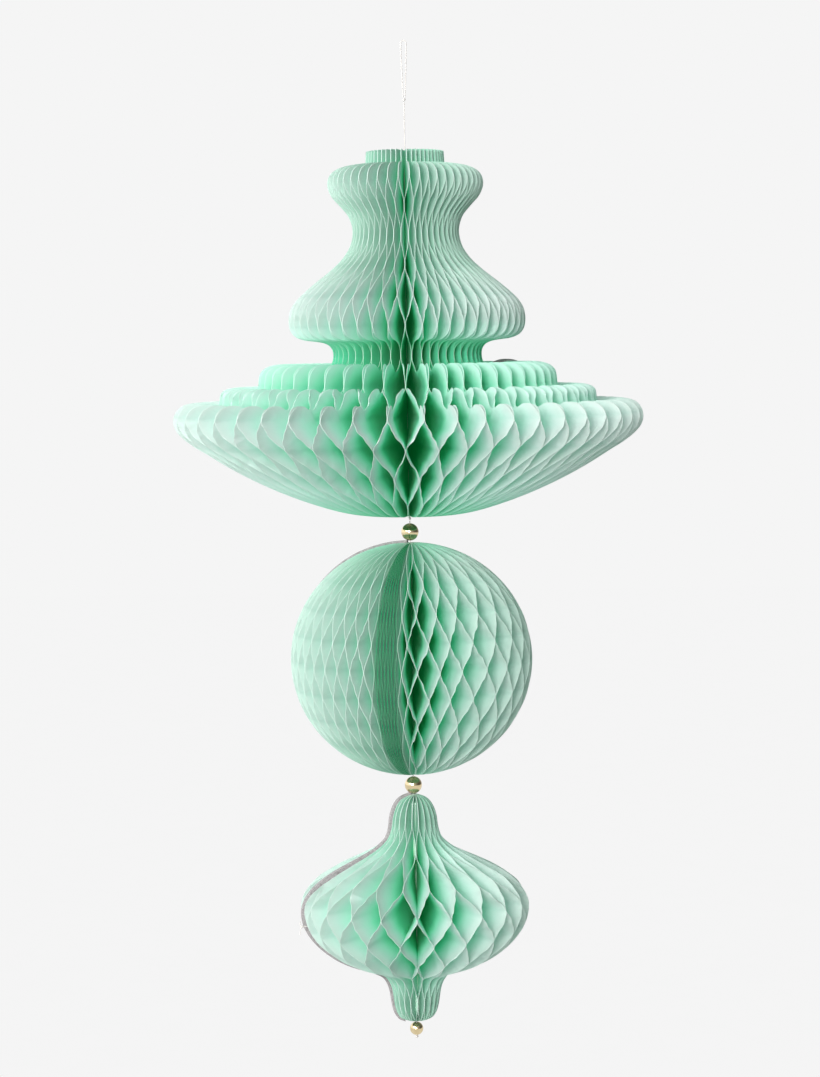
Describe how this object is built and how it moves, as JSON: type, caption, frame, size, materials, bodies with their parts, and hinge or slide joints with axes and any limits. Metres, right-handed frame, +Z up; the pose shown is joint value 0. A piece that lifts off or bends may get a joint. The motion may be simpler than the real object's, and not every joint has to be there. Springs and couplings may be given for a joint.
{
  "type": "paper honeycomb hanging decoration",
  "caption": "Hanging string of fold-out paper honeycomb bodies: a tiered canopy, a ball and a finial, with round metal beads between them on one thread.",
  "frame": {"origin": "top of the hanging loop, where a hook holds it", "axes": "+Z up along the thread, -Y towards the front, +X to the right as seen from the front"},
  "size_m": [0.2664, 0.2664, 0.5765],
  "materials": {
    "paper": "matt mint green coloured paper with paler cut edges",
    "board": "uncoated grey board",
    "spine": "glued inner edges of the leaves, satin",
    "thread": "white twisted thread",
    "gold": "polished pale gold metal"
  },
  "bodies": {
    "root": {"hanging_loop": "thread"},
    "loop_knot": {"loop_knot": "thread"},
    "canopy_thread": {"canopy_thread": "thread"},
    "canopy_cover_a": {"canopy_cover_a": "board", "canopy_spine": "spine", "canopy_cover_tie": "thread"},
    "canopy_cover_b": {"canopy_cover_b": "board"},
    "canopy_leaves_01": {"canopy_leaves_01": "paper"},
    "canopy_leaves_02": {"canopy_leaves_02": "paper"},
    "canopy_leaves_03": {"canopy_leaves_03": "paper"},
    "canopy_leaves_04": {"canopy_leaves_04": "paper"},
    "canopy_leaves_05": {"canopy_leaves_05": "paper"},
    "canopy_leaves_06": {"canopy_leaves_06": "paper"},
    "canopy_leaves_07": {"canopy_leaves_07": "paper"},
    "canopy_leaves_08": {"canopy_leaves_08": "paper"},
    "canopy_leaves_09": {"canopy_leaves_09": "paper"},
    "canopy_leaves_10": {"canopy_leaves_10": "paper"},
    "canopy_leaves_11": {"canopy_leaves_11": "paper"},
    "canopy_leaves_12": {"canopy_leaves_12": "paper"},
    "upper_knot": {"upper_knot": "thread"},
    "ball_thread": {"ball_thread": "thread"},
    "upper_bead": {"upper_bead": "gold"},
    "ball_cover_a": {"ball_cover_a": "board", "ball_spine": "spine", "ball_cover_tie": "thread"},
    "ball_cover_b": {"ball_cover_b": "board"},
    "ball_leaves_01": {"ball_leaves_01": "paper"},
    "ball_leaves_02": {"ball_leaves_02": "paper"},
    "ball_leaves_03": {"ball_leaves_03": "paper"},
    "ball_leaves_04": {"ball_leaves_04": "paper"},
    "ball_leaves_05": {"ball_leaves_05": "paper"},
    "ball_leaves_06": {"ball_leaves_06": "paper"},
    "ball_leaves_07": {"ball_leaves_07": "paper"},
    "ball_leaves_08": {"ball_leaves_08": "paper"},
    "ball_leaves_09": {"ball_leaves_09": "paper"},
    "ball_leaves_10": {"ball_leaves_10": "paper"},
    "ball_leaves_11": {"ball_leaves_11": "paper"},
    "ball_leaves_12": {"ball_leaves_12": "paper"},
    "lower_knot": {"lower_knot": "thread"},
    "finial_thread": {"finial_thread": "thread", "end_knot": "thread"},
    "lower_bead": {"lower_bead": "gold"},
    "finial_cover_a": {"finial_cover_a": "board", "finial_spine": "spine", "finial_cover_tie": "thread"},
    "finial_cover_b": {"finial_cover_b": "board"},
    "finial_leaves_01": {"finial_leaves_01": "paper"},
    "finial_leaves_02": {"finial_leaves_02": "paper"},
    "finial_leaves_03": {"finial_leaves_03": "paper"},
    "finial_leaves_04": {"finial_leaves_04": "paper"},
    "finial_leaves_05": {"finial_leaves_05": "paper"},
    "finial_leaves_06": {"finial_leaves_06": "paper"},
    "finial_leaves_07": {"finial_leaves_07": "paper"},
    "finial_leaves_08": {"finial_leaves_08": "paper"},
    "finial_leaves_09": {"finial_leaves_09": "paper"},
    "finial_leaves_10": {"finial_leaves_10": "paper"},
    "finial_leaves_11": {"finial_leaves_11": "paper"},
    "finial_leaves_12": {"finial_leaves_12": "paper"},
    "end_bead": {"end_bead": "gold"}
  },
  "joints": [
    {"name": "string_swing_front_back", "type": "hinge", "parent": "root", "child": "loop_knot", "pos_m": [0, 0, -0.0336], "axis": [1, 0, 0], "range_deg": [-25, 25]},
    {"name": "string_swing_side", "type": "hinge", "parent": "loop_knot", "child": "canopy_thread", "pos_m": [0, 0, -0.0336], "axis": [0, 1, 0], "range_deg": [-25, 25]},
    {"name": "canopy_swivel", "type": "hinge", "parent": "canopy_thread", "child": "canopy_cover_a", "pos_m": [0, 0, -0.17], "axis": [0, 0, 1], "continuous": true},
    {"name": "canopy_fold", "type": "hinge", "parent": "canopy_cover_a", "child": "canopy_cover_b", "pos_m": [0, 0, -0.17], "axis": [0, 0, 1], "range_deg": [-315, 0]},
    {"name": "canopy_leaves_01_fan", "type": "hinge", "parent": "canopy_cover_a", "child": "canopy_leaves_01", "pos_m": [0, 0, -0.17], "axis": [0, 0, 1], "range_deg": [-3, 0.5]},
    {"name": "canopy_leaves_02_fan", "type": "hinge", "parent": "canopy_cover_a", "child": "canopy_leaves_02", "pos_m": [0, 0, -0.17], "axis": [0, 0, 1], "range_deg": [-31.25, 0.5]},
    {"name": "canopy_leaves_03_fan", "type": "hinge", "parent": "canopy_cover_a", "child": "canopy_leaves_03", "pos_m": [0, 0, -0.17], "axis": [0, 0, 1], "range_deg": [-59.5, 0.5]},
    {"name": "canopy_leaves_04_fan", "type": "hinge", "parent": "canopy_cover_a", "child": "canopy_leaves_04", "pos_m": [0, 0, -0.17], "axis": [0, 0, 1], "range_deg": [-87.75, 0.5]},
    {"name": "canopy_leaves_05_fan", "type": "hinge", "parent": "canopy_cover_a", "child": "canopy_leaves_05", "pos_m": [0, 0, -0.17], "axis": [0, 0, 1], "range_deg": [-116, 0.5]},
    {"name": "canopy_leaves_06_fan", "type": "hinge", "parent": "canopy_cover_a", "child": "canopy_leaves_06", "pos_m": [0, 0, -0.17], "axis": [0, 0, 1], "range_deg": [-144.25, 0.5]},
    {"name": "canopy_leaves_07_fan", "type": "hinge", "parent": "canopy_cover_a", "child": "canopy_leaves_07", "pos_m": [0, 0, -0.17], "axis": [0, 0, 1], "range_deg": [-172.5, 0.5]},
    {"name": "canopy_leaves_08_fan", "type": "hinge", "parent": "canopy_cover_a", "child": "canopy_leaves_08", "pos_m": [0, 0, -0.17], "axis": [0, 0, 1], "range_deg": [-200.75, 0.5]},
    {"name": "canopy_leaves_09_fan", "type": "hinge", "parent": "canopy_cover_a", "child": "canopy_leaves_09", "pos_m": [0, 0, -0.17], "axis": [0, 0, 1], "range_deg": [-229, 0.5]},
    {"name": "canopy_leaves_10_fan", "type": "hinge", "parent": "canopy_cover_a", "child": "canopy_leaves_10", "pos_m": [0, 0, -0.17], "axis": [0, 0, 1], "range_deg": [-257.25, 0.5]},
    {"name": "canopy_leaves_11_fan", "type": "hinge", "parent": "canopy_cover_a", "child": "canopy_leaves_11", "pos_m": [0, 0, -0.17], "axis": [0, 0, 1], "range_deg": [-285.5, 0.5]},
    {"name": "canopy_leaves_12_fan", "type": "hinge", "parent": "canopy_cover_a", "child": "canopy_leaves_12", "pos_m": [0, 0, -0.17], "axis": [0, 0, 1], "range_deg": [-313.75, 0.5]},
    {"name": "ball_swing_front_back", "type": "hinge", "parent": "canopy_thread", "child": "upper_knot", "pos_m": [0, 0, -0.2715], "axis": [1, 0, 0], "range_deg": [-20, 20]},
    {"name": "ball_swing_side", "type": "hinge", "parent": "upper_knot", "child": "ball_thread", "pos_m": [0, 0, -0.2715], "axis": [0, 1, 0], "range_deg": [-20, 20]},
    {"name": "upper_bead_spin", "type": "hinge", "parent": "ball_thread", "child": "upper_bead", "pos_m": [0, 0, -0.2835], "axis": [0, 0, 1], "continuous": true},
    {"name": "ball_swivel", "type": "hinge", "parent": "ball_thread", "child": "ball_cover_a", "pos_m": [0, 0, -0.3555], "axis": [0, 0, 1], "continuous": true},
    {"name": "ball_fold", "type": "hinge", "parent": "ball_cover_a", "child": "ball_cover_b", "pos_m": [0, 0, -0.3555], "axis": [0, 0, 1], "range_deg": [-315, 0]},
    {"name": "ball_leaves_01_fan", "type": "hinge", "parent": "ball_cover_a", "child": "ball_leaves_01", "pos_m": [0, 0, -0.3555], "axis": [0, 0, 1], "range_deg": [-3, 0.5]},
    {"name": "ball_leaves_02_fan", "type": "hinge", "parent": "ball_cover_a", "child": "ball_leaves_02", "pos_m": [0, 0, -0.3555], "axis": [0, 0, 1], "range_deg": [-31.25, 0.5]},
    {"name": "ball_leaves_03_fan", "type": "hinge", "parent": "ball_cover_a", "child": "ball_leaves_03", "pos_m": [0, 0, -0.3555], "axis": [0, 0, 1], "range_deg": [-59.5, 0.5]},
    {"name": "ball_leaves_04_fan", "type": "hinge", "parent": "ball_cover_a", "child": "ball_leaves_04", "pos_m": [0, 0, -0.3555], "axis": [0, 0, 1], "range_deg": [-87.75, 0.5]},
    {"name": "ball_leaves_05_fan", "type": "hinge", "parent": "ball_cover_a", "child": "ball_leaves_05", "pos_m": [0, 0, -0.3555], "axis": [0, 0, 1], "range_deg": [-116, 0.5]},
    {"name": "ball_leaves_06_fan", "type": "hinge", "parent": "ball_cover_a", "child": "ball_leaves_06", "pos_m": [0, 0, -0.3555], "axis": [0, 0, 1], "range_deg": [-144.25, 0.5]},
    {"name": "ball_leaves_07_fan", "type": "hinge", "parent": "ball_cover_a", "child": "ball_leaves_07", "pos_m": [0, 0, -0.3555], "axis": [0, 0, 1], "range_deg": [-172.5, 0.5]},
    {"name": "ball_leaves_08_fan", "type": "hinge", "parent": "ball_cover_a", "child": "ball_leaves_08", "pos_m": [0, 0, -0.3555], "axis": [0, 0, 1], "range_deg": [-200.75, 0.5]},
    {"name": "ball_leaves_09_fan", "type": "hinge", "parent": "ball_cover_a", "child": "ball_leaves_09", "pos_m": [0, 0, -0.3555], "axis": [0, 0, 1], "range_deg": [-229, 0.5]},
    {"name": "ball_leaves_10_fan", "type": "hinge", "parent": "ball_cover_a", "child": "ball_leaves_10", "pos_m": [0, 0, -0.3555], "axis": [0, 0, 1], "range_deg": [-257.25, 0.5]},
    {"name": "ball_leaves_11_fan", "type": "hinge", "parent": "ball_cover_a", "child": "ball_leaves_11", "pos_m": [0, 0, -0.3555], "axis": [0, 0, 1], "range_deg": [-285.5, 0.5]},
    {"name": "ball_leaves_12_fan", "type": "hinge", "parent": "ball_cover_a", "child": "ball_leaves_12", "pos_m": [0, 0, -0.3555], "axis": [0, 0, 1], "range_deg": [-313.75, 0.5]},
    {"name": "finial_swing_front_back", "type": "hinge", "parent": "ball_thread", "child": "lower_knot", "pos_m": [0, 0, -0.4174], "axis": [1, 0, 0], "range_deg": [-20, 20]},
    {"name": "finial_swing_side", "type": "hinge", "parent": "lower_knot", "child": "finial_thread", "pos_m": [0, 0, -0.4174], "axis": [0, 1, 0], "range_deg": [-20, 20]},
    {"name": "lower_bead_spin", "type": "hinge", "parent": "finial_thread", "child": "lower_bead", "pos_m": [0, 0, -0.4284], "axis": [0, 0, 1], "continuous": true},
    {"name": "finial_swivel", "type": "hinge", "parent": "finial_thread", "child": "finial_cover_a", "pos_m": [0, 0, -0.4977], "axis": [0, 0, 1], "continuous": true},
    {"name": "finial_fold", "type": "hinge", "parent": "finial_cover_a", "child": "finial_cover_b", "pos_m": [0, 0, -0.4977], "axis": [0, 0, 1], "range_deg": [-315, 0]},
    {"name": "finial_leaves_01_fan", "type": "hinge", "parent": "finial_cover_a", "child": "finial_leaves_01", "pos_m": [0, 0, -0.4977], "axis": [0, 0, 1], "range_deg": [-3, 0.5]},
    {"name": "finial_leaves_02_fan", "type": "hinge", "parent": "finial_cover_a", "child": "finial_leaves_02", "pos_m": [0, 0, -0.4977], "axis": [0, 0, 1], "range_deg": [-31.25, 0.5]},
    {"name": "finial_leaves_03_fan", "type": "hinge", "parent": "finial_cover_a", "child": "finial_leaves_03", "pos_m": [0, 0, -0.4977], "axis": [0, 0, 1], "range_deg": [-59.5, 0.5]},
    {"name": "finial_leaves_04_fan", "type": "hinge", "parent": "finial_cover_a", "child": "finial_leaves_04", "pos_m": [0, 0, -0.4977], "axis": [0, 0, 1], "range_deg": [-87.75, 0.5]},
    {"name": "finial_leaves_05_fan", "type": "hinge", "parent": "finial_cover_a", "child": "finial_leaves_05", "pos_m": [0, 0, -0.4977], "axis": [0, 0, 1], "range_deg": [-116, 0.5]},
    {"name": "finial_leaves_06_fan", "type": "hinge", "parent": "finial_cover_a", "child": "finial_leaves_06", "pos_m": [0, 0, -0.4977], "axis": [0, 0, 1], "range_deg": [-144.25, 0.5]},
    {"name": "finial_leaves_07_fan", "type": "hinge", "parent": "finial_cover_a", "child": "finial_leaves_07", "pos_m": [0, 0, -0.4977], "axis": [0, 0, 1], "range_deg": [-172.5, 0.5]},
    {"name": "finial_leaves_08_fan", "type": "hinge", "parent": "finial_cover_a", "child": "finial_leaves_08", "pos_m": [0, 0, -0.4977], "axis": [0, 0, 1], "range_deg": [-200.75, 0.5]},
    {"name": "finial_leaves_09_fan", "type": "hinge", "parent": "finial_cover_a", "child": "finial_leaves_09", "pos_m": [0, 0, -0.4977], "axis": [0, 0, 1], "range_deg": [-229, 0.5]},
    {"name": "finial_leaves_10_fan", "type": "hinge", "parent": "finial_cover_a", "child": "finial_leaves_10", "pos_m": [0, 0, -0.4977], "axis": [0, 0, 1], "range_deg": [-257.25, 0.5]},
    {"name": "finial_leaves_11_fan", "type": "hinge", "parent": "finial_cover_a", "child": "finial_leaves_11", "pos_m": [0, 0, -0.4977], "axis": [0, 0, 1], "range_deg": [-285.5, 0.5]},
    {"name": "finial_leaves_12_fan", "type": "hinge", "parent": "finial_cover_a", "child": "finial_leaves_12", "pos_m": [0, 0, -0.4977], "axis": [0, 0, 1], "range_deg": [-313.75, 0.5]},
    {"name": "end_bead_spin", "type": "hinge", "parent": "finial_thread", "child": "end_bead", "pos_m": [0, 0, -0.5681], "axis": [0, 0, 1], "continuous": true}
  ],
  "couplings": [
    {"joint": "canopy_leaves_01_fan", "follows": "canopy_fold", "ratio": 0.007937},
    {"joint": "canopy_leaves_02_fan", "follows": "canopy_fold", "ratio": 0.097619},
    {"joint": "canopy_leaves_03_fan", "follows": "canopy_fold", "ratio": 0.1873},
    {"joint": "canopy_leaves_04_fan", "follows": "canopy_fold", "ratio": 0.27698},
    {"joint": "canopy_leaves_05_fan", "follows": "canopy_fold", "ratio": 0.36667},
    {"joint": "canopy_leaves_06_fan", "follows": "canopy_fold", "ratio": 0.45635},
    {"joint": "canopy_leaves_07_fan", "follows": "canopy_fold", "ratio": 0.54603},
    {"joint": "canopy_leaves_08_fan", "follows": "canopy_fold", "ratio": 0.63571},
    {"joint": "canopy_leaves_09_fan", "follows": "canopy_fold", "ratio": 0.7254},
    {"joint": "canopy_leaves_10_fan", "follows": "canopy_fold", "ratio": 0.81508},
    {"joint": "canopy_leaves_11_fan", "follows": "canopy_fold", "ratio": 0.90476},
    {"joint": "canopy_leaves_12_fan", "follows": "canopy_fold", "ratio": 0.99444},
    {"joint": "ball_leaves_01_fan", "follows": "ball_fold", "ratio": 0.007937},
    {"joint": "ball_leaves_02_fan", "follows": "ball_fold", "ratio": 0.097619},
    {"joint": "ball_leaves_03_fan", "follows": "ball_fold", "ratio": 0.1873},
    {"joint": "ball_leaves_04_fan", "follows": "ball_fold", "ratio": 0.27698},
    {"joint": "ball_leaves_05_fan", "follows": "ball_fold", "ratio": 0.36667},
    {"joint": "ball_leaves_06_fan", "follows": "ball_fold", "ratio": 0.45635},
    {"joint": "ball_leaves_07_fan", "follows": "ball_fold", "ratio": 0.54603},
    {"joint": "ball_leaves_08_fan", "follows": "ball_fold", "ratio": 0.63571},
    {"joint": "ball_leaves_09_fan", "follows": "ball_fold", "ratio": 0.7254},
    {"joint": "ball_leaves_10_fan", "follows": "ball_fold", "ratio": 0.81508},
    {"joint": "ball_leaves_11_fan", "follows": "ball_fold", "ratio": 0.90476},
    {"joint": "ball_leaves_12_fan", "follows": "ball_fold", "ratio": 0.99444},
    {"joint": "finial_leaves_01_fan", "follows": "finial_fold", "ratio": 0.007937},
    {"joint": "finial_leaves_02_fan", "follows": "finial_fold", "ratio": 0.097619},
    {"joint": "finial_leaves_03_fan", "follows": "finial_fold", "ratio": 0.1873},
    {"joint": "finial_leaves_04_fan", "follows": "finial_fold", "ratio": 0.27698},
    {"joint": "finial_leaves_05_fan", "follows": "finial_fold", "ratio": 0.36667},
    {"joint": "finial_leaves_06_fan", "follows": "finial_fold", "ratio": 0.45635},
    {"joint": "finial_leaves_07_fan", "follows": "finial_fold", "ratio": 0.54603},
    {"joint": "finial_leaves_08_fan", "follows": "finial_fold", "ratio": 0.63571},
    {"joint": "finial_leaves_09_fan", "follows": "finial_fold", "ratio": 0.7254},
    {"joint": "finial_leaves_10_fan", "follows": "finial_fold", "ratio": 0.81508},
    {"joint": "finial_leaves_11_fan", "follows": "finial_fold", "ratio": 0.90476},
    {"joint": "finial_leaves_12_fan", "follows": "finial_fold", "ratio": 0.99444}
  ]
}
